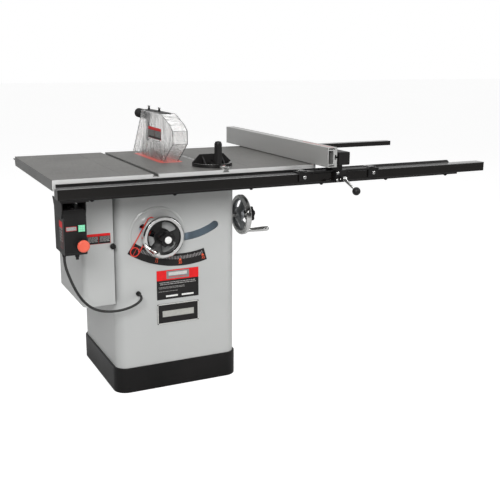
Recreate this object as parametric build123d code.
from build123d import *
import os
from math import acos, atan2, cos, degrees, pi, radians, sin, tan

# Table saw with a ten inch blade that tilts to the left, a cast iron table with two wings, a long rip
# fence rail and a sheet steel cabinet. Millimetres. The origin is on the floor, in the centre of the base.
# +X is to the operator's right, +Y away from the operator and +Z up.

# ---- driving dimensions ----
TABLE_TOP = 900.0
TABLE_THICKNESS = 38.0
TABLE_WEB = 12.0
TABLE_FRONT = -412.0
TABLE_REAR = 274.0
MAIN_HALF = 256.0
LEFT_WING_WIDTH = 258.0
RIGHT_WING_WIDTH = 273.0
SKIRT = 14.0
SIDE_SKIRT = 20.0

SLOT_X = 139.0
SLOT_WIDTH = 19.0
SLOT_DEPTH = 9.5
TEE_WIDTH = 24.0
TEE_HEIGHT = 3.2

THROAT_X = (-25.0, 73.0)
THROAT_Y = (-147.0, 201.0)
THROAT_RADIUS = 20.0
INSERT_THICKNESS = 5.0
GAP = 0.3

CABINET_HALF_X = 256.0
CABINET_HALF_Y = 252.0
CABINET_TOP = TABLE_TOP - TABLE_THICKNESS
CABINET_RADIUS = 45.0
SHEET = 3.0
BASE_HALF_X = 264.0
BASE_HALF_Y = 260.0
BASE_HEIGHT = 102.0
BASE_RADIUS = 53.0
FLOOR_BOLT_X = 400.0
FLOOR_BOLT_Y = 420.0
FLOOR_BOLT_HOLE = 6.0

BLADE_X = 20.0
BLADE_RADIUS = 127.0
BLADE_TEETH = 40
BLADE_PLATE = 2.4
KERF = 3.2
ARBOR_Y = 27.0
ARBOR_Z = 852.0
ARBOR_RADIUS = 7.94
PIVOT_X = BLADE_X
PIVOT_Z = TABLE_TOP

SHAFT_ORBIT = 282.0
SHAFT_ANGLE = -18.7
SHAFT_RADIUS = 8.0
ARC_SLOT_HALF_WIDTH = 15.5
ARC_SLOT_ENDS = (-34.6, 30.1)
PANEL_HALF_X = 208.0
WHEEL_RADIUS = 84.0
CRANK_RADIUS = 71.0

TILT_SHAFT_Y = -165.0
SECTOR_TEETH = 147
GEAR_MODULE = 3.0
SECTOR_PITCH = GEAR_MODULE * SECTOR_TEETH / 2
WORM_GAP = 11.0
TILT_SHAFT_Z = PIVOT_Z - SECTOR_PITCH - WORM_GAP

MOTOR_Y = 0.0
MOTOR_Z = 690.0
MOTOR_RADIUS = 78.0
MOTOR_X = (-345.0, -84.0)
ARBOR_PULLEY_RADIUS = 26.0
MOTOR_PULLEY_RADIUS = 33.0
BELT_X = (-66.0, -40.0)

COVER_X = (-382.0, -258.5)
COVER_Y = (-252.0, 136.0)
COVER_Z = (377.0, 820.0)
COVER_HINGE = (-261.0, 142.5)
HINGE_Z = (470.0, 735.0)

TUBE_X = (-507.0, 1342.0)
TUBE_Y = (-469.0, -418.0)
TUBE_Z = (837.0, 875.0)
RAIL_BOLTS_X = (-385.0, -78.0, 231.0, 541.0, 850.0, 1160.0)
REAR_RAIL_X = (-514.0, 1384.0)

FENCE_X = (512.0, 553.0)
FENCE_Y = (-531.0, 406.0)
FENCE_Z = (903.0, 979.0)
FENCE_TUBE_X = (568.0, 618.0)
CLAMP_X = 593.0

GUARD_X = (-11.0, 51.0)
GUARD_WALL = 2.5
HANGER_PINS_Y = (108.0, 122.0)

GAUGE_Y = -275.0
GAUGE_RADIUS = 80.0
GAUGE_HANDLE = (SLOT_X, -338.0)

SWITCH_X = (-493.0, -414.0)
SWITCH_Y = (-468.0, -322.0)
SWITCH_Z = (641.0, 796.0)
START_AT = (-433.0, 737.0)
STOP_AT = (-434.0, 678.0)

DUST_Z = 190.0
DUST_RADIUS = 50.8

CABLE_DIAMETER = 10.0
SWITCH_GLAND = (-478.0, -384.0)
CABINET_GLAND = (-166.0, 408.0)
CABLE_ROUTE = [
    (-478.0, -384.0, 621.0),
    (-478.0, -384.0, 592.0),
    (-463.0, -380.0, 543.0),
    (-438.0, -364.0, 484.0),
    (-406.0, -345.0, 431.0),
    (-364.0, -324.0, 391.0),
    (-312.0, -308.0, 369.0),
    (-256.0, -300.0, 363.0),
    (-204.0, -302.0, 374.0),
    (-173.0, -309.0, 396.0),
    (-166.0, -293.0, 408.0),
    (-166.0, -270.0, 408.0),
]


# ---- helpers ----
def block(x, y, z):
    """A box between three pairs of limits."""
    size = [side[1] - side[0] for side in (x, y, z)]
    middle = [(side[1] + side[0]) / 2 for side in (x, y, z)]
    return Pos(*middle) * Box(*size)


def rod(axis, ends, at, radius):
    """A cylinder along an axis, between two ends, centred on the other two coordinates."""
    middle, length = (ends[0] + ends[1]) / 2, abs(ends[1] - ends[0])
    if axis == "X":
        return Pos(middle, at[0], at[1]) * Rot(0, 90, 0) * Cylinder(radius, length)
    if axis == "Y":
        return Pos(at[0], middle, at[1]) * Rot(90, 0, 0) * Cylinder(radius, length)
    return Pos(at[0], at[1], middle) * Cylinder(radius, length)


def tube(axis, ends, at, outer, inner):
    over = (min(ends) - 1, max(ends) + 1)
    return rod(axis, ends, at, outer) - rod(axis, over, at, inner)


def upright(x, y, z, radius):
    """A box whose four upright edges are rounded."""
    return fillet(block(x, y, z).edges().filter_by(Axis.Z), radius)


def prism(axis, points, ends):
    """A polygon extruded along an axis. The points are (y, z), (x, z) or (x, y)."""
    low, high = ends
    place = {
        "X": lambda p: (low, p[0], p[1]),
        "Y": lambda p: (p[0], low, p[1]),
        "Z": lambda p: (p[0], p[1], low),
    }[axis]
    way = {"X": (1, 0, 0), "Y": (0, 1, 0), "Z": (0, 0, 1)}[axis]
    face = make_face(Wire.make_polygon([Vector(*place(p)) for p in points], close=True))
    return extrude(face, amount=high - low, dir=way)


def polar(radius, angle):
    """The X and Z of a point about the tilt axis; the angle runs from straight down to the right."""
    return (PIVOT_X + radius * sin(radians(angle)), PIVOT_Z - radius * cos(radians(angle)))


HEIGHT_AXIS = polar(SHAFT_ORBIT, SHAFT_ANGLE)
TILT_AXIS = (TILT_SHAFT_Y, TILT_SHAFT_Z)
LIFT_AT = (HEIGHT_AXIS[0], -95.0)
POSTS_Y = (-75.0, 130.0)
POST_X = -12.0
POST_RADIUS = 12.0
TRUNNION_BACK = TILT_SHAFT_Y + 7


def sector(radii, angles, ends):
    """A ring sector about the tilt axis, extruded along Y."""
    y = ends[0]
    middle = (angles[0] + angles[1]) / 2
    inner, outer = radii

    def at(radius, angle):
        x, z = polar(radius, angle)
        return (x, y, z)

    edges = [
        ThreePointArc(at(outer, angles[0]), at(outer, middle), at(outer, angles[1])),
        Line(at(outer, angles[1]), at(inner, angles[1])),
        ThreePointArc(at(inner, angles[1]), at(inner, middle), at(inner, angles[0])),
        Line(at(inner, angles[0]), at(outer, angles[0])),
    ]
    return extrude(make_face(edges), amount=ends[1] - ends[0], dir=(0, 1, 0))


def arc_band(orbit, half_width, angles, ends):
    """A ring sector with round ends."""
    band = sector((orbit - half_width, orbit + half_width), angles, ends)
    for angle in angles:
        band += rod("Y", ends, polar(orbit, angle), half_width)
    return band


def loop_outline(one, one_radius, two, two_radius, x, width):
    """The solid inside a belt that runs round two circles, given as (y, z)."""
    dy, dz = two[0] - one[0], two[1] - one[1]
    distance = (dy * dy + dz * dz) ** 0.5
    along = atan2(dz, dy)
    spread = acos((one_radius - two_radius) / distance)
    corners = []
    for centre, radius in ((one, one_radius), (two, two_radius)):
        for side in (1, -1):
            angle = along + side * spread
            corners.append((centre[0] + radius * cos(angle), centre[1] + radius * sin(angle)))
    quad = [corners[0], corners[1], corners[3], corners[2]]
    ends = (x, x + width)
    return prism("X", quad, ends) + rod("X", ends, one, one_radius) + rod("X", ends, two, two_radius)


def turned(axis, profile, at):
    """A closed outline of (radius, distance along the axis) turned about an axis through a point."""
    face = make_face(Wire.make_polygon([Vector(r, 0, along) for r, along in profile], close=True))
    solid = revolve(face, Axis.Z)
    if axis == "Y":
        return Pos(at[0], 0, at[1]) * Rot(-90, 0, 0) * solid
    if axis == "X":
        return Pos(0, at[0], at[1]) * Rot(0, 90, 0) * solid
    return Pos(at[0], at[1], 0) * solid


# ---- base and cabinet ----
def base_plinth():
    outer = upright((-BASE_HALF_X, BASE_HALF_X), (-BASE_HALF_Y, BASE_HALF_Y), (0, BASE_HEIGHT), BASE_RADIUS)
    outer = chamfer(outer.edges().group_by(Axis.Z)[-1], 2.5)
    wall, flange, ledge = 5.0, 5.0, 12.0
    inner = upright(
        (wall - BASE_HALF_X, BASE_HALF_X - wall),
        (wall - BASE_HALF_Y, BASE_HALF_Y - wall),
        (flange, BASE_HEIGHT - 4),
        BASE_RADIUS - wall,
    )
    top = upright(
        (ledge - CABINET_HALF_X, CABINET_HALF_X - ledge),
        (ledge - CABINET_HALF_Y, CABINET_HALF_Y - ledge),
        (BASE_HEIGHT - 5, BASE_HEIGHT + 1),
        CABINET_RADIUS - ledge,
    )
    bottom = block((-155, 155), (-BASE_HALF_Y + 40, BASE_HALF_Y - 40), (-1, flange + 1))
    bottom += block((-BASE_HALF_X + 40, BASE_HALF_X - 40), (-165, 165), (-1, flange + 1))
    shell = outer - inner - top - bottom
    for x in (-FLOOR_BOLT_X / 2, FLOOR_BOLT_X / 2):
        for y in (-FLOOR_BOLT_Y / 2, FLOOR_BOLT_Y / 2):
            shell -= rod("Z", (-1, flange + 1), (x, y), FLOOR_BOLT_HOLE)
    return shell


def cabinet():
    """A folded steel box, open above and below, with an opening behind that the rear panel closes."""
    height = (BASE_HEIGHT, CABINET_TOP)
    over = (BASE_HEIGHT - 1, CABINET_TOP + 1)
    outer = upright((-CABINET_HALF_X, CABINET_HALF_X), (-CABINET_HALF_Y, CABINET_HALF_Y), height,
        CABINET_RADIUS)
    inner = upright(
        (SHEET - CABINET_HALF_X, CABINET_HALF_X - SHEET), (SHEET - CABINET_HALF_Y, CABINET_HALF_Y
            - SHEET), over,
        CABINET_RADIUS - SHEET,
    )
    shell = outer - inner
    shell -= block((-PANEL_HALF_X, PANEL_HALF_X), (CABINET_HALF_Y - SHEET, CABINET_HALF_Y + 1), over)
    # rear edges folded in as flanges that the rear panel is screwed to
    for side in (-1, 1):
        x = sorted((side * (PANEL_HALF_X - 20), side * (PANEL_HALF_X + 5)))
        shell += block(x, (CABINET_HALF_Y - 2 * SHEET, CABINET_HALF_Y - SHEET), height)
    wall = (-CABINET_HALF_Y - 5, -CABINET_HALF_Y + SHEET + 5)
    # a shallow pressed bead around the rest place of the front handwheel
    bead = turned("Y", [(106, -253), (109, -254.2), (113, -254.2), (116, -253), (116, -251), (106, -251)],
        (-82, 633))
    shell += bead - sector((347, 399), (-35, 16), (-256, -CABINET_HALF_Y))
    shell -= arc_band(SHAFT_ORBIT, ARC_SLOT_HALF_WIDTH, ARC_SLOT_ENDS, wall)
    shell -= rod("Y", wall, CABINET_GLAND, 7.0)
    shell -= block((-CABINET_HALF_X - 5, -CABINET_HALF_X + 8), (-200, 106), (412, 795))
    shell -= rod("X", (CABINET_HALF_X - 8, CABINET_HALF_X + 5), (TILT_SHAFT_Y, TILT_SHAFT_Z), 12.0)
    return shell


def rear_panel():
    half = PANEL_HALF_X - 0.5
    panel = block((-half, half), (CABINET_HALF_Y - SHEET, CABINET_HALF_Y), (BASE_HEIGHT, CABINET_TOP))
    return panel - rod("Y", (CABINET_HALF_Y - 10, CABINET_HALF_Y + 10), (0, DUST_Z), 44.0)


def panel_screws():
    for x in (-198.0, 198.0):
        for z in (150.0, 380.0, 610.0, 820.0):
            yield rod("Y", (CABINET_HALF_Y, CABINET_HALF_Y + 3.5), (x, z), 6.0)


def dust_port():
    flange_depth, length = 3.0, 45.0
    start = CABINET_HALF_Y
    flange = fillet(
        block((-66, 66), (start, start + flange_depth),
            (DUST_Z - 66, DUST_Z + 66)).edges().filter_by(Axis.Y), 14
    )
    spout = flange + rod("Y", (start, start + flange_depth + length), (0, DUST_Z), DUST_RADIUS)
    return spout - rod("Y", (start - 5, start + 80), (0, DUST_Z), DUST_RADIUS - 2.2)


# ---- tables ----
def ribbed_casting(x, ribs):
    """A plate with a skirt round its underside. Ribs are extra (x, y) limits that keep the full depth."""
    y = (TABLE_FRONT, TABLE_REAR)
    top = (TABLE_TOP - TABLE_THICKNESS, TABLE_TOP)
    casting = block(x, y, top)
    pocket = block((x[0] + SIDE_SKIRT, x[1] - SIDE_SKIRT), (y[0] + SKIRT, y[1] - SKIRT),
        (top[0] - 1, TABLE_TOP - TABLE_WEB))
    casting -= pocket
    for rib_x, rib_y in ribs:
        casting += block(rib_x, rib_y, (top[0], TABLE_TOP - TABLE_WEB + 1))
    seams = casting.edges().filter_by(Axis.Y).group_by(Axis.Z)[-1]
    return chamfer(seams, 0.8)


def mitre_slot(x):
    floor = TABLE_TOP - SLOT_DEPTH
    y = (TABLE_FRONT - 1, TABLE_REAR + 1)
    slot = block((x - SLOT_WIDTH / 2, x + SLOT_WIDTH / 2), y, (floor, TABLE_TOP + 1))
    return slot + block((x - TEE_WIDTH / 2, x + TEE_WIDTH / 2), y, (floor, floor + TEE_HEIGHT))


def main_table():
    cabinet_ribs = [
        ((-MAIN_HALF, MAIN_HALF), (-CABINET_HALF_Y, -CABINET_HALF_Y + 14)),
        ((-MAIN_HALF, MAIN_HALF), (CABINET_HALF_Y - 14, CABINET_HALF_Y)),
    ]
    table = ribbed_casting((-MAIN_HALF, MAIN_HALF), cabinet_ribs)
    for x in (-SLOT_X, SLOT_X):
        table += block((x - 20, x + 20), (TABLE_FRONT, TABLE_REAR),
            (TABLE_TOP - 24, TABLE_TOP - TABLE_WEB + 1))
        table -= mitre_slot(x)
    table -= upright(THROAT_X, THROAT_Y, (TABLE_TOP - 60, TABLE_TOP + 1), THROAT_RADIUS)
    ledge = (TABLE_TOP - TABLE_WEB, TABLE_TOP - INSERT_THICKNESS)
    for y in ((THROAT_Y[0] - 1, THROAT_Y[0] + 12), (THROAT_Y[1] - 12, THROAT_Y[1] + 1)):
        table += block((THROAT_X[0] + 12, THROAT_X[1] - 12), y, ledge)
    return table


def wing(side):
    width = RIGHT_WING_WIDTH if side > 0 else LEFT_WING_WIDTH
    x = sorted((side * MAIN_HALF, side * (MAIN_HALF + width)))
    middle = sum(x) / 2
    return ribbed_casting(tuple(x), [((middle - 6, middle + 6), (TABLE_FRONT, TABLE_REAR))])


def throat_insert():
    play = 0.4
    plate = upright(
        (THROAT_X[0] + play, THROAT_X[1] - play), (THROAT_Y[0] + play, THROAT_Y[1] - play),
        (TABLE_TOP - INSERT_THICKNESS, TABLE_TOP), THROAT_RADIUS - play,
    )
    plate -= block((16, 29.5), (-122, 187), (TABLE_TOP - 20, TABLE_TOP + 1))
    for x in (-8.0, 56.0):
        for y in (-132.0, 186.0):
            plate -= rod("Z", (TABLE_TOP - 1.5, TABLE_TOP + 1), (x, y), 3.5)
    return plate


def wing_bolts():
    """Hex bolts that pull each wing against the main table, from below."""
    for side in (-1, 1):
        seam = side * (MAIN_HALF + SIDE_SKIRT)
        for y in (-330.0, -70.0, 190.0):
            shank = rod("X", sorted((seam, seam + side * 3)), (y, TABLE_TOP - 26), 8.5)
            head = rod("X", sorted((seam + side * 3, seam + side * 9)), (y, TABLE_TOP - 26), 6.5)
            yield shank + head


# ---- rails ----
def front_angle_rail():
    face = (TABLE_FRONT - 6, TABLE_FRONT)
    upright_leg = prism("Y", [(-503, 885), (-503, 831), (1202, 831), (1202, 868), (1185, 885)], face)
    lower_leg = block((-503, 1202), (TUBE_Y[0] + 3, TABLE_FRONT), (831, TUBE_Z[0] - GAP / 3))
    return upright_leg + lower_leg


def front_guide_tube():
    outer = fillet(block(TUBE_X, (TUBE_Y[0], TUBE_Y[1] - 0.1), TUBE_Z).edges().filter_by(Axis.X), 2.5)
    return outer - block((TUBE_X[0] - 1, TUBE_X[1] + 1), (TUBE_Y[0] + 3, TUBE_Y[1] - 3),
        (TUBE_Z[0] + 3, TUBE_Z[1] - 3))


def tube_end_caps():
    for end, side in ((TUBE_X[0], -1), (TUBE_X[1], 1)):
        plate = block(sorted((end, end + side * 3)), (TUBE_Y[0] + 0.5, TUBE_Y[1] - 0.5),
            (TUBE_Z[0] + 0.5, TUBE_Z[1] - 0.5))
        plug = block(sorted((end, end - side * 12)), (TUBE_Y[0] + 3, TUBE_Y[1] - 3),
            (TUBE_Z[0] + 3, TUBE_Z[1] - 3))
        yield plate + plug


def rear_rail():
    upright_leg = block(REAR_RAIL_X, (TABLE_REAR, TABLE_REAR + 5), (867, 889))
    return upright_leg + block(REAR_RAIL_X, (TABLE_REAR, TABLE_REAR + 38), (884, 889))


def rail_bolts():
    """Hex heads under the front tube, and button heads that hold both rails to the tables."""
    for x in RAIL_BOLTS_X:
        yield extrude(Pos(x, -440, 824) * RegularPolygon(7.5, 6), amount=7) + rod("Z", (822, 824),
            (x, -440), 4)
    for x in (-440.0, -200.0, 200.0, 440.0):
        yield rod("Y", (TABLE_REAR + 5, TABLE_REAR + 10), (x, 876), 6.0)
        yield rod("Y", (TABLE_FRONT - 9.5, TABLE_FRONT - 6), (x, 880), 4.4)


# ---- labels and scale on the front ----
def rating_plate():
    return block((-89, 89), (-CABINET_HALF_Y - 1, -CABINET_HALF_Y), (369, 489))


def badge_plate():
    plate = block((-89, 89), (-CABINET_HALF_Y - 2, -CABINET_HALF_Y), (266, 351))
    plate = fillet(plate.edges().filter_by(Axis.Y), 5)
    border = block((-84, 84), (-CABINET_HALF_Y - 5, -CABINET_HALF_Y - 1.2), (271, 346))
    return plate - fillet(border.edges().filter_by(Axis.Y), 3)


def badge_rivets():
    for x in (-77.0, 77.0):
        yield rod("Y", (-CABINET_HALF_Y - 2.6, -CABINET_HALF_Y - 1.2), (x, 308), 3.5)


def tilt_scale():
    return sector((348, 398), (-34.5, 15.5), (-CABINET_HALF_Y - 1, -CABINET_HALF_Y))


# ---- switch and its cable ----
def switch_box():
    x, y, z = SWITCH_X, SWITCH_Y, SWITCH_Z
    side = [(y[1], z[0]), (y[0] + 10, z[0]), (y[0], z[0] + 12), (y[0], z[1] - 26), (y[0] + 22, z[1]),
        (y[1], z[1])]
    box = prism("X", side, x)
    box = fillet(box.edges().filter_by(Axis.Z), 5)
    start_x, start_z = START_AT
    box -= block((start_x - 12, start_x + 12), (y[0] - 1, y[0] + 16), (start_z - 12, start_z + 12))
    box += rod("Y", (y[0] - 12, y[0] + 1), STOP_AT, 18)
    return box - rod("Y", (y[0] - 13, y[0] + 18), STOP_AT, 14)


def start_button():
    x, z = START_AT
    button = block((x - 11.5, x + 11.5), (SWITCH_Y[0] - 4, SWITCH_Y[0] + 8), (z - 11.5, z + 11.5))
    return chamfer(button.edges().group_by(Axis.Y)[0], 1.2)


def stop_button():
    """A mushroom head on a stem."""
    face = SWITCH_Y[0] - 30
    head = [(0, face), (17, face), (21.5, face + 4), (21.5, face + 9), (19, face + 12), (12, face + 12)]
    profile = head + [(12, SWITCH_Y[0] + 8), (0, SWITCH_Y[0] + 8)]
    return turned("Y", profile, STOP_AT)


def switch_bracket():
    """A folded plate under the rail, with two gussets down to the switch box."""
    top = block((SWITCH_X[0] - 6, SWITCH_X[1] + 12), (-462, -400), (826, 831))
    back = block((SWITCH_X[0] + 6, SWITCH_X[1] - 6), (SWITCH_Y[1], SWITCH_Y[1] + 3), (700, 831))
    shelf = block((SWITCH_X[0] + 2, SWITCH_X[1] - 2), (-446, SWITCH_Y[1] + 3),
        (SWITCH_Z[1], SWITCH_Z[1] + 3))
    bracket = top + back + shelf + block((SWITCH_X[0] + 6, SWITCH_X[1] - 6), (-400, SWITCH_Y[1] + 3),
        (826, 831))
    for x in ((SWITCH_X[0] - 3, SWITCH_X[0]), (SWITCH_X[1], SWITCH_X[1] + 3)):
        outline = [(-458, 831), (-458, 800), (-446, 770), (-360, 770), (SWITCH_Y[1] + 3, 831)]
        bracket += prism("X", outline, x)
    return bracket


def switch_screws():
    yield rod("Z", (SWITCH_Z[1] + 3, SWITCH_Z[1] + 7), (-452, -428), 6.0)
    yield rod("Z", (SWITCH_Z[1] + 3, SWITCH_Z[1] + 7), (-452, -385), 6.0)


def gland(axis, wall, tip, at):
    """A cord grip: a nut on the wall and a tapering nose that the cable comes out of."""
    way = 1 if tip > wall else -1
    return turned(axis, [(0, wall), (9.5, wall), (9.5, wall + 8 * way), (8, wall + 8 * way), (6.5, tip),
        (0, tip)], at)


def spare_gland():
    """The second grip under the switch box, with a plug in it."""
    wall, at = SWITCH_Z[0], (-445, -440)
    return turned("Z", [(0, wall), (8, wall), (8, wall - 10), (5.5, wall - 10), (5.5, wall - 20),
        (0, wall - 20)], at)


def route_radii(points):
    """The bend radius at each inner point: 0.45 of the shorter run over the tangent of half the turn."""
    radii = []
    for before, here, after in zip(points, points[1:], points[2:]):
        one, two = Vector(*here) - Vector(*before), Vector(*after) - Vector(*here)
        turn = one.get_angle(two)
        radii.append(0.45 * min(one.length, two.length) / tan(radians(turn / 2)))
    return radii


def switch_cable():
    radii = route_radii(CABLE_ROUTE)
    path = FilletPolyline(*CABLE_ROUTE, radius=radii)
    start = Vector(*CABLE_ROUTE[0])
    section = Plane(origin=start, z_dir=Vector(*CABLE_ROUTE[1]) - start) * Circle(CABLE_DIAMETER / 2)
    return sweep(section, path=path)


# ---- motor cover ----
def motor_cover():
    wall = 2.5
    outer = block(COVER_X, COVER_Y, COVER_Z)
    outer = fillet(outer.edges().filter_by(Axis.Z).group_by(Axis.X)[0], 18)
    inner = block((COVER_X[0] + wall, COVER_X[1] + 5), (COVER_Y[0] + wall, COVER_Y[1] - wall),
        (COVER_Z[0] + wall, COVER_Z[1] - wall))
    inner = fillet(inner.edges().filter_by(Axis.Z).group_by(Axis.X)[0], 18 - wall)
    cover = outer - inner
    for z in HINGE_Z:
        knuckle = (z + 20.5, z + 45)
        cover += rod("Z", knuckle, COVER_HINGE, 4.5)
        cover += block((COVER_HINGE[0] - 3, COVER_HINGE[0] + 1), (COVER_Y[1] - 1, COVER_HINGE[1]), knuckle)
    return cover


def cover_hinge():
    """The cabinet's half of each hinge of the motor cover."""
    x, y = COVER_HINGE
    for z in HINGE_Z:
        knuckle = (z - 20, z + 20)
        yield rod("Z", knuckle, COVER_HINGE, 4.5) + block((x + 2, -CABINET_HALF_X), (y, y + 24), knuckle)


def latch_knob():
    """A small turn knob with a stem through the cover."""
    knob = rod("Y", (COVER_Y[0] - 16, COVER_Y[0] - 6), (-264, 610), 11)
    return fillet(knob.edges().group_by(Axis.Y)[0], 3) + rod("Y", (COVER_Y[0] - 6, COVER_Y[0] - GAP),
        (-264, 610), 5)


# ---- tilting mechanism ----
def trunnion_bracket(y):
    disc = rod("Y", y, (PIVOT_X, PIVOT_Z), 118)
    disc &= block((-94, 112), (y[0] - 1, y[1] + 1), (700, TABLE_TOP - TABLE_WEB))
    disc -= rod("Y", (y[0] - 1, y[1] + 1), (PIVOT_X, PIVOT_Z - 15), 55)
    return disc + block((-94, 112), (y[0] - 8, y[1] + 0.0),
        (TABLE_TOP - TABLE_WEB - 9, TABLE_TOP - TABLE_WEB))


def front_trunnion():
    y = (TILT_SHAFT_Y - 7, TILT_SHAFT_Y + 7)
    plate = sector((118 + GAP, SECTOR_PITCH - 1.25 * GEAR_MODULE), (-64, 24), y)
    pitch = 360 / SECTOR_TEETH
    root, tip = SECTOR_PITCH - 1.4 * GEAR_MODULE, SECTOR_PITCH + 0.8 * GEAR_MODULE
    for tooth in range(-20, 3):
        angle = tooth * pitch
        plate += prism(
            "Y",
            [polar(root, angle - 0.36 * pitch), polar(tip, angle - 0.16 * pitch),
             polar(tip, angle + 0.16 * pitch), polar(root, angle + 0.36 * pitch)],
            y,
        )
    return plate


def rear_trunnion():
    return sector((118 + GAP, 214), (-64, 24), (214, 228))


def trunnion_frame():
    """Tie bars between the trunnions, with arms that hold the slide posts and the lift screw."""
    rear = 214
    upper = block((-125, -95), (TRUNNION_BACK, rear), (800, 822))
    for y in POSTS_Y:
        upper += block((-125, 2), (y - 13, y + 13), (822, 838))
    lift_y = (LIFT_AT[1] - 14, LIFT_AT[1] + 14)
    upper += block((-96, -56), lift_y, (806, 818))
    upper -= rod("Z", (800, 820), LIFT_AT, 5.05)
    lower = block((-28, 4), (-153, rear - 8), (590, 612))
    lower += block((-28, 4), (-153, -138), (590, 712)) + block((-28, 4), (TRUNNION_BACK, -138), (692, 712))
    lower += block((-28, 4), (rear - 16, rear - 4), (590, 720)) + block((-28, 4), (rear - 16, rear),
        (694, 720))
    lower += block((-84, -27), lift_y, (590, 602))
    lower -= rod("Z", (585, 605), LIFT_AT, 5.05)
    yield upper
    yield lower
    yield block((60, 85), (TRUNNION_BACK, rear), (700, 722))
    yield from (rod("Z", (612, 822), (POST_X, y), POST_RADIUS) for y in POSTS_Y)
    yield height_shaft_bearing()
    yield splitter_bracket()


def height_shaft_bearing():
    """An arm from the front trunnion down to the height shaft."""
    angles = (SHAFT_ANGLE - 3, SHAFT_ANGLE + 3)
    away = (TRUNNION_BACK + 5, TRUNNION_BACK + 20)
    arm = sector((195, 214), angles, (TRUNNION_BACK, away[1])) + sector((205, SHAFT_ORBIT), angles, away)
    arm += rod("Y", away, HEIGHT_AXIS, 18)
    return arm - rod("Y", (away[0] - 1, away[1] + 1), HEIGHT_AXIS, SHAFT_RADIUS + 0.05)


def tilt_pointer():
    """A long loop of flat wire with a ring for the hairline, on a post that passes through the arc slot."""
    y = (-CABINET_HALF_Y - 5.5, -CABINET_HALF_Y - 3)
    angle = -31.4
    outer, inner = 19.0, 15.5
    lower, upper = polar(378, angle), polar(245, angle)
    along = atan2(upper[1] - lower[1], upper[0] - lower[0])

    def loop(radius):
        side = (-sin(along) * radius, cos(along) * radius)
        corners = [(p[0] + s * side[0], p[1] + s * side[1]) for p,
            s in ((lower, 1), (upper, 1), (upper, -1), (lower, -1))]
        ends = (y[0] - (radius < outer), y[1] + (radius < outer))
        return prism("Y", corners, ends) + rod("Y", ends, lower, radius) + rod("Y", ends, upper, radius)

    frame = loop(outer) - loop(inner)
    frame += tube("Y", y, lower, outer, inner)
    cross = prism(
        "Y",
        [polar(SHAFT_ORBIT + 5, angle - 3.4), polar(SHAFT_ORBIT + 5, angle + 3.4),
         polar(SHAFT_ORBIT - 5, angle + 3.6), polar(SHAFT_ORBIT - 5, angle - 3.6)],
        y,
    )
    frame += cross & loop(outer)
    away = (TRUNNION_BACK + 5, TRUNNION_BACK + 14)
    post = rod("Y", (y[1] - 0.5, away[1]), polar(SHAFT_ORBIT, angle), 5)
    hairline = prism(
        "Y",
        [polar(364, angle - 0.1), polar(364, angle + 0.1), polar(392, angle + 0.1),
            polar(392, angle - 0.1)],
        y,
    )
    span = (angle - 2, angle + 2)
    arm = sector((196, 214), span, (TRUNNION_BACK, away[1])) + sector((205, SHAFT_ORBIT + 8), span, away)
    return frame + post + hairline + arm


def splitter():
    """The plate behind the blade that keeps the cut open and carries the guard."""
    half = 1.2
    x = (BLADE_X - half, BLADE_X + half)
    outline = [
        (163, 735), (206, 735), (206, 790), (186, 790), (186, 904), (222, 906), (148, 1003), (96,
            1003), (96, 955), (163, 900),
    ]
    return prism("X", outline, x) - rod("X", (x[0] - 1, x[1] + 1), (ARBOR_Y, ARBOR_Z), BLADE_RADIUS + 7)


def splitter_bracket():
    """A block on the rear trunnion that the splitter's foot is clamped in."""
    return block((4, 36), (188, 214), (740, 780)) - block((BLADE_X - 1.2, BLADE_X + 1.2), (180, 206),
        (730, 790))


# ---- handwheels ----
def polar_about(at, radius, turn):
    return (at[0] + radius * cos(radians(turn)), at[1] + radius * sin(radians(turn)))


def handwheel(axis, at, front, back):
    """A dished wheel with three openings. Front is the operator's side of the rim, back the other."""
    way = 1 if back > front else -1
    rim_in = 65.0
    mid = (front + back) / 2
    profile = [
        (WHEEL_RADIUS - 5, front), (WHEEL_RADIUS, front + 5 * way), (WHEEL_RADIUS, back - 5 * way),
        (WHEEL_RADIUS - 5, back), (rim_in + 4, back), (rim_in, back - 4 * way), (rim_in, mid + 2 * way),
        (22, back + 6 * way), (16, back + 12 * way), (SHAFT_RADIUS, back + 12 * way), (SHAFT_RADIUS, front
            + 6 * way),
        (20, front + 6 * way), (24, back - 2 * way), (rim_in, mid - 6 * way), (rim_in, front
            + 4 * way), (rim_in + 4, front),
    ]
    wheel = turned(axis, profile, at)
    through = (front - 30 * way, back + 30 * way)
    for turn in (60, 180, 300):
        sides = [polar_about(at, 150, turn - 34), polar_about(at, 150, turn + 34)]
        opening = tube(axis, sorted(through), at, 61, 33) & prism(axis, [at, *sides], sorted(through))
        wheel -= fillet(opening.edges().filter_by({"X": Axis.X, "Y": Axis.Y}[axis]), 7)
    return wheel


def star_knob(axis, at, face, hub):
    """A five lobed knob on a neck that reaches down to the wheel's hub, with a raised cap."""
    way = 1 if hub > face else -1
    knob = rod(axis, (face, face + 24 * way), at, 30)
    for lobe in range(5):
        turn = radians(54 + 72 * lobe)
        centre = (at[0] + 38 * cos(turn), at[1] + 38 * sin(turn))
        knob -= rod(axis, (face - way, face + 25 * way), centre, 15)
    knob += rod(axis, (face - 2 * way, face), at, 17) + rod(axis, (face, hub), at, 15)
    return knob - rod(axis, (face + 7 * way, hub + way), at, SHAFT_RADIUS + 0.05)


def height_handwheel():
    return handwheel("Y", HEIGHT_AXIS, -298, -271)


def tilt_handwheel():
    return handwheel("X", TILT_AXIS, 332, 309)


def height_knob():
    return star_knob("Y", HEIGHT_AXIS, -340, -292.3)


def tilt_knob():
    return star_knob("X", TILT_AXIS, 372, 326.3)


def height_crank():
    return crank_handle("Y", polar_about(HEIGHT_AXIS, CRANK_RADIUS, 215), -298.3, -390)


def tilt_crank():
    return crank_handle("X", polar_about(TILT_AXIS, CRANK_RADIUS, 242), 332.3, 433)


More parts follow.
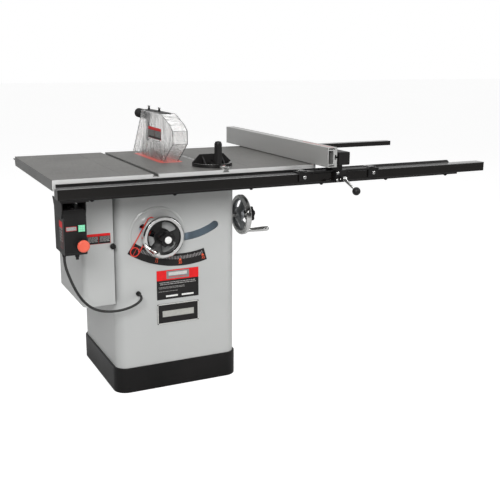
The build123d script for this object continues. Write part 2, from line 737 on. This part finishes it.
def height_shaft():
    """The shaft behind the front handwheel, with the bevel pinion at its inner end."""
    pinion_end = LIFT_AT[1] - 9.5
    profile = [(0, -118), (12.4, -118), (12.4, LIFT_AT[1] - 13), (8.9, pinion_end), (0, pinion_end)]
    return rod("Y", (-333, -110), HEIGHT_AXIS, SHAFT_RADIUS) + turned("Y", profile, HEIGHT_AXIS)


def lift_screw():
    """The upright screw that raises the saw unit, with the bevel wheel that the pinion turns."""
    axis_z = HEIGHT_AXIS[1]
    screw = rod("Z", (603, 805), LIFT_AT, SHAFT_RADIUS) + rod("Z", (592, 816), LIFT_AT, 5)
    for thread in range(33):
        z = 665 + 4 * thread
        screw -= tube("Z", (z, z + 2), LIFT_AT, SHAFT_RADIUS + 1, SHAFT_RADIUS - 1)
    return screw + turned("Z", [(0, axis_z + 23), (12.4, axis_z + 23), (12.4, axis_z + 13),
        (9, axis_z + 9.5), (0, axis_z + 9.5)], LIFT_AT)


def tilt_shaft():
    """The shaft behind the side handwheel, with the worm that moves the front trunnion's gear."""
    pitch = pi * GEAR_MODULE
    shaft = rod("X", (52, 365), TILT_AXIS, SHAFT_RADIUS) + rod("X", (-14, 53), TILT_AXIS, 6)
    for ring in range(-3, 4):
        x = PIVOT_X + pitch * ring
        shaft += rod("X", (x - 2.2, x + 2.2), TILT_AXIS, SHAFT_RADIUS + 0.2)
    return shaft


def tilt_shaft_bearing():
    """A flanged bush in the cabinet's side, and a bracket that holds the shaft behind the front panel."""
    wall = CABINET_HALF_X
    yield rod("X", (wall, wall + 8), TILT_AXIS, 24) + rod("X", (wall - SHEET, wall + 1), TILT_AXIS,
        11.8) - rod(
        "X", (wall - 20, wall + 20), TILT_AXIS, SHAFT_RADIUS + 0.05
    )
    x = (100, 116)
    arm = block(x, (SHEET - CABINET_HALF_Y, TILT_SHAFT_Y),
        (TILT_SHAFT_Z - 11, TILT_SHAFT_Z + 11)) + rod("X", x, TILT_AXIS, 11)
    yield arm - rod("X", (x[0] - 1, x[1] + 1), TILT_AXIS, SHAFT_RADIUS + 0.05)


def crank_handle(axis, at, start, end):
    way = 1 if end > start else -1
    length = abs(end - start)
    profile = [
        (0, start), (7.5, start), (8.5, start + 6 * way), (8.0, start + 14 * way), (10.5, start
            + 0.72 * length * way),
        (10.0, end - 6 * way), (6.5, end), (0, end),
    ]
    return turned(axis, profile, at)


# ---- saw unit ----
def arbor_carriage():
    """Casting that slides on the posts, with the arbor housing and the plate that the motor bolts to."""
    bore = (ARBOR_Y, ARBOR_Z)
    casting = rod("X", (-26, 6.5), bore, 24) + prism("X", [(3, 852), (51, 852), (110, 770), (-56, 770)],
        (-22, 2))
    casting += block((-22, 2), (-60, 115), (740, 790))
    for y in POSTS_Y:
        casting += rod("Z", (740, 810), (POST_X, y), 20)
    casting += block((-84, -74), (-70, 76), (640, 770))
    casting += block((-74, -22), (-70, -50), (745, 768)) + block((-74, -22), (60, 76), (745, 768))
    casting += block((-64, -32), (-101, -85), (770, 790)) + rod("Z", (770, 794), LIFT_AT, 14)
    casting -= rod("X", (-30, 10), bore, 20)
    casting -= rod("X", (-90, -70), (MOTOR_Y, MOTOR_Z), 20)
    casting -= rod("Z", (760, 800), LIFT_AT, SHAFT_RADIUS + 0.05)
    for y in POSTS_Y:
        casting -= rod("Z", (730, 820), (POST_X, y), POST_RADIUS + 0.05)
    return casting


def arbor_bearings():
    for x in ((-26, -14), (-6, 6)):
        yield tube("X", x, (ARBOR_Y, ARBOR_Z), 20, 10.05)


def motor():
    x, at = MOTOR_X, (MOTOR_Y, MOTOR_Z)
    body = rod("X", (x[0] + 20, x[1]), at, MOTOR_RADIUS - 3) + rod("X", (x[0], x[0] + 40), at,
        MOTOR_RADIUS - 8)
    body += rod("X", (x[0] + 34, x[0] + 58), at, MOTOR_RADIUS) + rod("X", (x[1] - 40, x[1]), at,
        MOTOR_RADIUS)
    capacitor = rod("X", (x[0] + 70, x[1] - 60), (MOTOR_Y - 84, MOTOR_Z + 30), 24)
    saddle = block((x[0] + 80, x[1] - 70), (MOTOR_Y - 84, MOTOR_Y - 60), (MOTOR_Z + 12, MOTOR_Z + 48))
    return body + capacitor + saddle - rod("X", (x[1] - 30, x[1] + 1), at, 10.1)


def motor_pulley():
    """The pulley on the end of the motor's shaft."""
    at = (MOTOR_Y, MOTOR_Z)
    return rod("X", (MOTOR_X[1] - 29, -38), at, 10) + rod("X", BELT_X, at, MOTOR_PULLEY_RADIUS)


def drive_belt():
    motor_at, arbor_at = (MOTOR_Y, MOTOR_Z), (ARBOR_Y, ARBOR_Z)
    x, width = BELT_X[0] + 2, BELT_X[1] - BELT_X[0] - 4
    outer = loop_outline(motor_at, MOTOR_PULLEY_RADIUS + 4, arbor_at, ARBOR_PULLEY_RADIUS + 4, x, width)
    inner = loop_outline(motor_at, MOTOR_PULLEY_RADIUS + GAP, arbor_at, ARBOR_PULLEY_RADIUS + GAP, x - 1,
        width + 2)
    return outer - inner


def arbor_shaft():
    """The blade's shaft, with its pulley at the left end."""
    at = (ARBOR_Y, ARBOR_Z)
    shaft = rod("X", (-68, 7.5), at, 10) + rod("X", (7.5, 43), at, ARBOR_RADIUS)
    return shaft + rod("X", BELT_X, at, ARBOR_PULLEY_RADIUS)


def saw_blade():
    """A disc with forty hooked teeth, expansion slots and a carbide width at the rim."""
    outline = []
    gullet = BLADE_RADIUS - 9
    for tooth in range(BLADE_TEETH):
        start = 2 * pi * tooth / BLADE_TEETH
        step = 2 * pi / BLADE_TEETH
        for radius, share in ((BLADE_RADIUS, 0.0), (BLADE_RADIUS - 2.5, 0.42), (gullet, 0.62),
                (gullet - 1, 0.86)):
            angle = start + share * step
            outline.append((ARBOR_Y + radius * cos(angle), ARBOR_Z + radius * sin(angle)))
    half = BLADE_PLATE / 2
    blade = prism("X", outline, (BLADE_X - half, BLADE_X + half))
    for turn in range(4):
        angle, radius = radians(45 + 90 * turn), gullet - 20
        centre = (ARBOR_Y + radius * cos(angle), ARBOR_Z + radius * sin(angle))
        blade -= rod("X", (BLADE_X - 3, BLADE_X + 3), centre, 3)
    return blade - rod("X", (BLADE_X - 5, BLADE_X + 5), (ARBOR_Y, ARBOR_Z), ARBOR_RADIUS)


def blade_tips():
    """Carbide tips, a little wider than the plate."""
    half = KERF / 2
    for tooth in range(BLADE_TEETH):
        angle = 2 * pi * tooth / BLADE_TEETH
        points = []
        for radius, share in ((BLADE_RADIUS, 0.0), (BLADE_RADIUS - 0.8, -0.14), (BLADE_RADIUS - 7, -0.14),
                (BLADE_RADIUS - 7, 0.0)):
            at = angle + share * 2 * pi / BLADE_TEETH
            points.append((ARBOR_Y + radius * cos(at), ARBOR_Z + radius * sin(at)))
        yield prism("X", points, (BLADE_X - half, BLADE_X + half))


def blade_flange(x):
    return tube("X", x, (ARBOR_Y, ARBOR_Z), 20, ARBOR_RADIUS)


def arbor_nut():
    nut = extrude(Plane(origin=(27, ARBOR_Y, ARBOR_Z), z_dir=(1, 0, 0)) * RegularPolygon(14, 6), amount=12)
    return nut - rod("X", (20, 50), (ARBOR_Y, ARBOR_Z), ARBOR_RADIUS)


# ---- blade guard ----
def guard_profile():
    """The guard seen from the side, as a sketch whose axes are Y and Z."""
    bottom, band, top = TABLE_TOP + 4, 1050.0, 1090.0
    points = [(247, bottom), (142, band), (130, top), (-120, top), (-216, 1054), (-246, 1034),
        (-246, 982), (-142, bottom)]
    return make_face(Polyline(*points, close=True))


def guard_block():
    """The guard's outside, as if it were solid."""
    return extrude(Plane.YZ.offset(GUARD_X[0]) * guard_profile(), amount=GUARD_X[1] - GUARD_X[0])


def guard_shell():
    """A clear cover, open below and at the lower rear."""
    hollow = offset(guard_profile(), -GUARD_WALL)
    width = GUARD_X[1] - GUARD_X[0]
    outer = guard_block()
    inner = extrude(Plane.YZ.offset(GUARD_X[0] + GUARD_WALL) * hollow, amount=width - 2 * GUARD_WALL)
    inside = (GUARD_X[0] + GUARD_WALL, GUARD_X[1] - GUARD_WALL)
    shell = outer - inner - block(inside, (-136, 252), (TABLE_TOP, TABLE_TOP + 8))
    for y in HANGER_PINS_Y:
        shell -= rod("Z", (1080, 1100), (BLADE_X, y), 3.2)
    return shell - rod("Y", (120, 150), (BLADE_X, 1069), 16)


def guard_spine():
    """The strip along the top, with two pins that slide down into the hanger."""
    spine = block((7, 33), (-116, 120), (1090, 1093))
    for y in HANGER_PINS_Y:
        spine += rod("Z", (1026, 1091), (BLADE_X, y), 3)
    return spine


def guard_wing_nuts():
    for y in (112.0, -14.0):
        nut = rod("Z", (1093, 1098), (BLADE_X, y), 5)
        for side in (-1, 1):
            outline = [(y, 1096), (y + side * 6, 1096), (y + side * 13, 1107), (y + side * 9, 1109),
                (y, 1099)]
            nut += prism("X", outline, (BLADE_X - 1.2, BLADE_X + 1.2))
        yield nut


def guard_dust_spout():
    spout = tube("Y", (125, 245), (BLADE_X, 1069), 18, 14.5) - guard_block()
    for y in range(166, 245, 11):
        spout += tube("Y", (y, y + 4), (BLADE_X, 1069), 20, 15)
    return spout


def guard_hanger():
    """A clip that slides on the top of the splitter and carries the guard on two pins."""
    clip = block((BLADE_X - 6, BLADE_X + 6), (100, 127), (964, 1084))
    clip -= block((BLADE_X - 1.5, BLADE_X + 1.5), (90, 140), (960, 1004.5))
    for y in HANGER_PINS_Y:
        clip -= rod("Z", (1022, 1090), (BLADE_X, y), 3.2)
    return clip


# ---- rip fence ----
def fence_extrusion():
    """A tall hollow bar with a shallow groove along its top, its underside and its right face."""
    bar = block(FENCE_X, FENCE_Y, FENCE_Z)
    over = (FENCE_Y[0] - 1, FENCE_Y[1] + 1)
    bar -= block((FENCE_X[0] + 3, FENCE_X[0] + 24), over, (FENCE_Z[0] + 12, FENCE_Z[1] - 12))
    bar -= block((FENCE_X[0] + 4, FENCE_X[0] + 30), over, (FENCE_Z[0] + 3, FENCE_Z[0] + 8))
    bar -= block((FENCE_X[0] + 4, FENCE_X[0] + 30), over, (FENCE_Z[1] - 8, FENCE_Z[1] - 3))
    middle = (FENCE_Z[0] + FENCE_Z[1]) / 2
    bar -= block((FENCE_X[1] - 11, FENCE_X[1] - 3), over, (middle - 9, middle + 9))
    return bar - block((FENCE_X[1] - 4, FENCE_X[1] + 1), over, (middle - 4, middle + 4))


def fence_tube():
    z = (908, 958)
    inside = (FENCE_TUBE_X[0] + 3, FENCE_TUBE_X[1] - 3)
    bar = fillet(block(FENCE_TUBE_X, (-520, 398), z).edges().filter_by(Axis.Y), 4)
    yield bar - block(inside, (-521, 399), (z[0] + 3, z[1] - 3))
    for y in ((-520, -508), (386, 398)):
        yield block(inside, y, (z[0] + 3, z[1] - 3))


def fence_spacers():
    for y in (-440.0, -60.0, 330.0):
        yield block((FENCE_X[1], FENCE_TUBE_X[0]), (y - 20, y + 20), (920, 946))


def fence_head():
    """The tee that rides on the guide tube, with the bracket that the cam lever locks against."""
    plate_z = (876, 882)
    head = block((420, 788), (-475, -422), plate_z)
    head += block((572, 614), (-475, -422), (881, 908))
    for x in ((420, 468), (740, 788)):
        head += block(x, (-475, TUBE_Y[0] - 0.8), (845, plate_z[1]))
    head += block((578, 626), (-487, TUBE_Y[0] - 0.8), (836, plate_z[1]))
    for x in ((594, 601), (619, 626)):
        head += block(x, (-507, -486), (839, 861))
    return head - rod("X", (590, 630), (-497, 850), 4.05)


def fence_head_screws():
    for x, z in ((444, 862), (764, 862)):
        yield fillet(rod("Y", (-479, -475), (x, z), 7).edges().group_by(Axis.Y)[0], 2)
    for z in (872, 845):
        yield fillet(rod("Y", (-491, -487), (586, z), 6).edges().group_by(Axis.Y)[0], 2)


def fence_cursors():
    """Clear lenses that read the scale on the tube."""
    for x in (444.0, 764.0):
        yield block((x - 16, x + 16), (-466, -426), (882, 886))


def fence_lever():
    """A cam hub with a tapering chrome lever."""
    hub = rod("X", (602, 618), (-497, 850), 9.5) + rod("X", (593, 627), (-497, 850), 4)
    tip = Vector(610, -577, 818)
    foot = Vector(610, -500, 849)
    lever = Plane(origin=foot, z_dir=tip - foot) * Pos(0, 0, (tip - foot).length / 2) * Cone(7.5, 4,
        (tip - foot).length)
    return hub + lever


def lever_ball():
    ball = Pos(610, -587, 814) * Sphere(16)
    tip, foot = Vector(610, -577, 818), Vector(610, -500, 849)
    socket = Plane(origin=foot, z_dir=tip - foot) * Pos(0, 0, (tip - foot).length / 2) * Cone(7.5, 4,
        (tip - foot).length)
    return ball - socket


# ---- mitre gauge ----
def gauge_bar():
    play = 0.25
    z = (TABLE_TOP - SLOT_DEPTH + play, TABLE_TOP - 0.5)
    bar = block((SLOT_X - SLOT_WIDTH / 2 + play, SLOT_X + SLOT_WIDTH / 2 - play), (TABLE_FRONT, 48), z)
    bar += rod("Z", (z[1] - 1, TABLE_TOP + 10), (SLOT_X, GAUGE_Y), 5)
    foot = block((SLOT_X - 7, SLOT_X + 7), (-375, -361), (z[1] - 1, TABLE_TOP + 1))
    return bar + foot + block((SLOT_X - 7, SLOT_X + 17), (-375, -361), (TABLE_TOP + 0.5, TABLE_TOP + 9))


def gauge_head():
    """A half disc with a raised scale rim, a tall face behind it and a boss for the handle."""
    z = (TABLE_TOP + 1, TABLE_TOP + 12)
    floor = z[0] + 4
    disc = rod("Z", z, (SLOT_X, GAUGE_Y), GAUGE_RADIUS)
    disc -= tube("Z", (floor, z[1] + 1), (SLOT_X, GAUGE_Y), GAUGE_RADIUS - 12, 16)
    disc &= block((0, 300), (GAUGE_Y - 90, GAUGE_Y + 5), (z[0] - 1, z[1] + 1))
    face = [(-80, z[0]), (-80, 915), (-49, 945), (49, 945), (80, 915), (80, z[0])]
    head = disc + prism("Y", [(SLOT_X + x, height) for x, height in face], (GAUGE_Y - 2, GAUGE_Y + 6))
    for x in (SLOT_X - 40, SLOT_X + 40):
        head += prism("X", [(GAUGE_Y - 2, 938), (GAUGE_Y - 42, floor), (GAUGE_Y - 2, floor)],
            (x - 3, x + 3))
    head += rod("Z", (z[0], z[1]), GAUGE_HANDLE, 17)
    return head - rod("Z", (890, 920), (SLOT_X, GAUGE_Y), 5.05)


def gauge_handle():
    """A ribbed grip that clamps the head."""
    low, high = 912.3, 1001
    x, y = GAUGE_HANDLE
    grip = turned("Z", [(0, low), (14.5, low), (14.5, high - 11), (11, high - 3), (0, high)], GAUGE_HANDLE)
    for rib in range(12):
        turn = radians(30 * rib)
        grip -= rod("Z", (low + 6, high - 17), (x + 15.5 * cos(turn), y + 15.5 * sin(turn)), 2)
    return grip


def gauge_stop_pin():
    return rod("Y", (-405, -375.2), (SLOT_X + 12, TABLE_TOP + 6.5), 3.2) + rod(
        "Y", (-412, -405), (SLOT_X + 12, TABLE_TOP + 6.5), 5.5
    )


# ---- everything, node by node ----
SOLIDS = {
    "base_plinth": base_plinth,
    "cabinet": cabinet,
    "rear_panel": rear_panel,
    "dust_port": dust_port,
    "main_table": main_table,
    "left_wing": lambda: wing(-1),
    "right_wing": lambda: wing(1),
    "throat_insert": throat_insert,
    "front_angle_rail": front_angle_rail,
    "rear_rail": rear_rail,
    "rating_plate": rating_plate,
    "tilt_scale": tilt_scale,
    "switch_box": switch_box,
    "switch_bracket": switch_bracket,
    "switch_cable": switch_cable,
    "start_button": start_button,
    "stop_button": stop_button,
    "motor_cover": motor_cover,
    "cover_latch": latch_knob,
    "tilt_pointer": tilt_pointer,
    "splitter": splitter,
    "height_handwheel": height_handwheel,
    "height_shaft": height_shaft,
    "height_knob": height_knob,
    "height_crank": height_crank,
    "lift_screw": lift_screw,
    "tilt_handwheel": tilt_handwheel,
    "tilt_shaft": tilt_shaft,
    "tilt_knob": tilt_knob,
    "tilt_crank": tilt_crank,
    "motor": motor,
    "motor_pulley": motor_pulley,
    "drive_belt": drive_belt,
    "arbor_shaft": arbor_shaft,
    "guard_shell": guard_shell,
    "guard_spout": guard_dust_spout,
    "guard_hanger": guard_hanger,
    "fence_extrusion": fence_extrusion,
    "fence_head": fence_head,
    "fence_lever": fence_lever,
    "lever_ball": lever_ball,
    "gauge_bar": gauge_bar,
    "gauge_head": gauge_head,
    "gauge_handle": gauge_handle,
    "gauge_stop_pin": gauge_stop_pin,
}

# Nodes of several separate solids: like fasteners, or pieces fitted to each other.
GROUPS = {
    "frame_bolts": lambda: [*panel_screws(), *wing_bolts(), *rail_bolts(), *switch_screws()],
    "front_guide_tube": lambda: [front_guide_tube(), *tube_end_caps()],
    "badge_plate": lambda: [badge_plate(), *badge_rivets()],
    "cable_glands": lambda: [
        gland("Z", SWITCH_Z[0], SWITCH_Z[0] - 20, SWITCH_GLAND),
        gland("Y", -CABINET_HALF_Y, -CABINET_HALF_Y - 18, CABINET_GLAND),
        spare_gland(),
    ],
    "cover_hinge": cover_hinge,
    "trunnion_brackets": lambda: [trunnion_bracket((-172, -158)), trunnion_bracket((214, 228)),
        *tilt_shaft_bearing()],
    "trunnions": lambda: [front_trunnion(), rear_trunnion()],
    "trunnion_frame": trunnion_frame,
    "arbor_carriage": lambda: [arbor_carriage(), *arbor_bearings()],
    "saw_blade": lambda: [saw_blade(), *blade_tips()],
    "blade_fixings": lambda: [blade_flange((7.5, 18.8)), blade_flange((21.2, 27)), arbor_nut()],
    "guard_spine": lambda: [guard_spine(), *guard_wing_nuts()],
    "fence_tube": lambda: [*fence_tube(), *fence_spacers()],
    "fence_screws": fence_head_screws,
    "fence_cursors": fence_cursors,
}

os.makedirs("parts", exist_ok=True)
for name, make in SOLIDS.items():
    export_step(make(), f"parts/{name}.step")
for name, make in GROUPS.items():
    export_step(Compound(children=list(make())), f"parts/{name}.step")
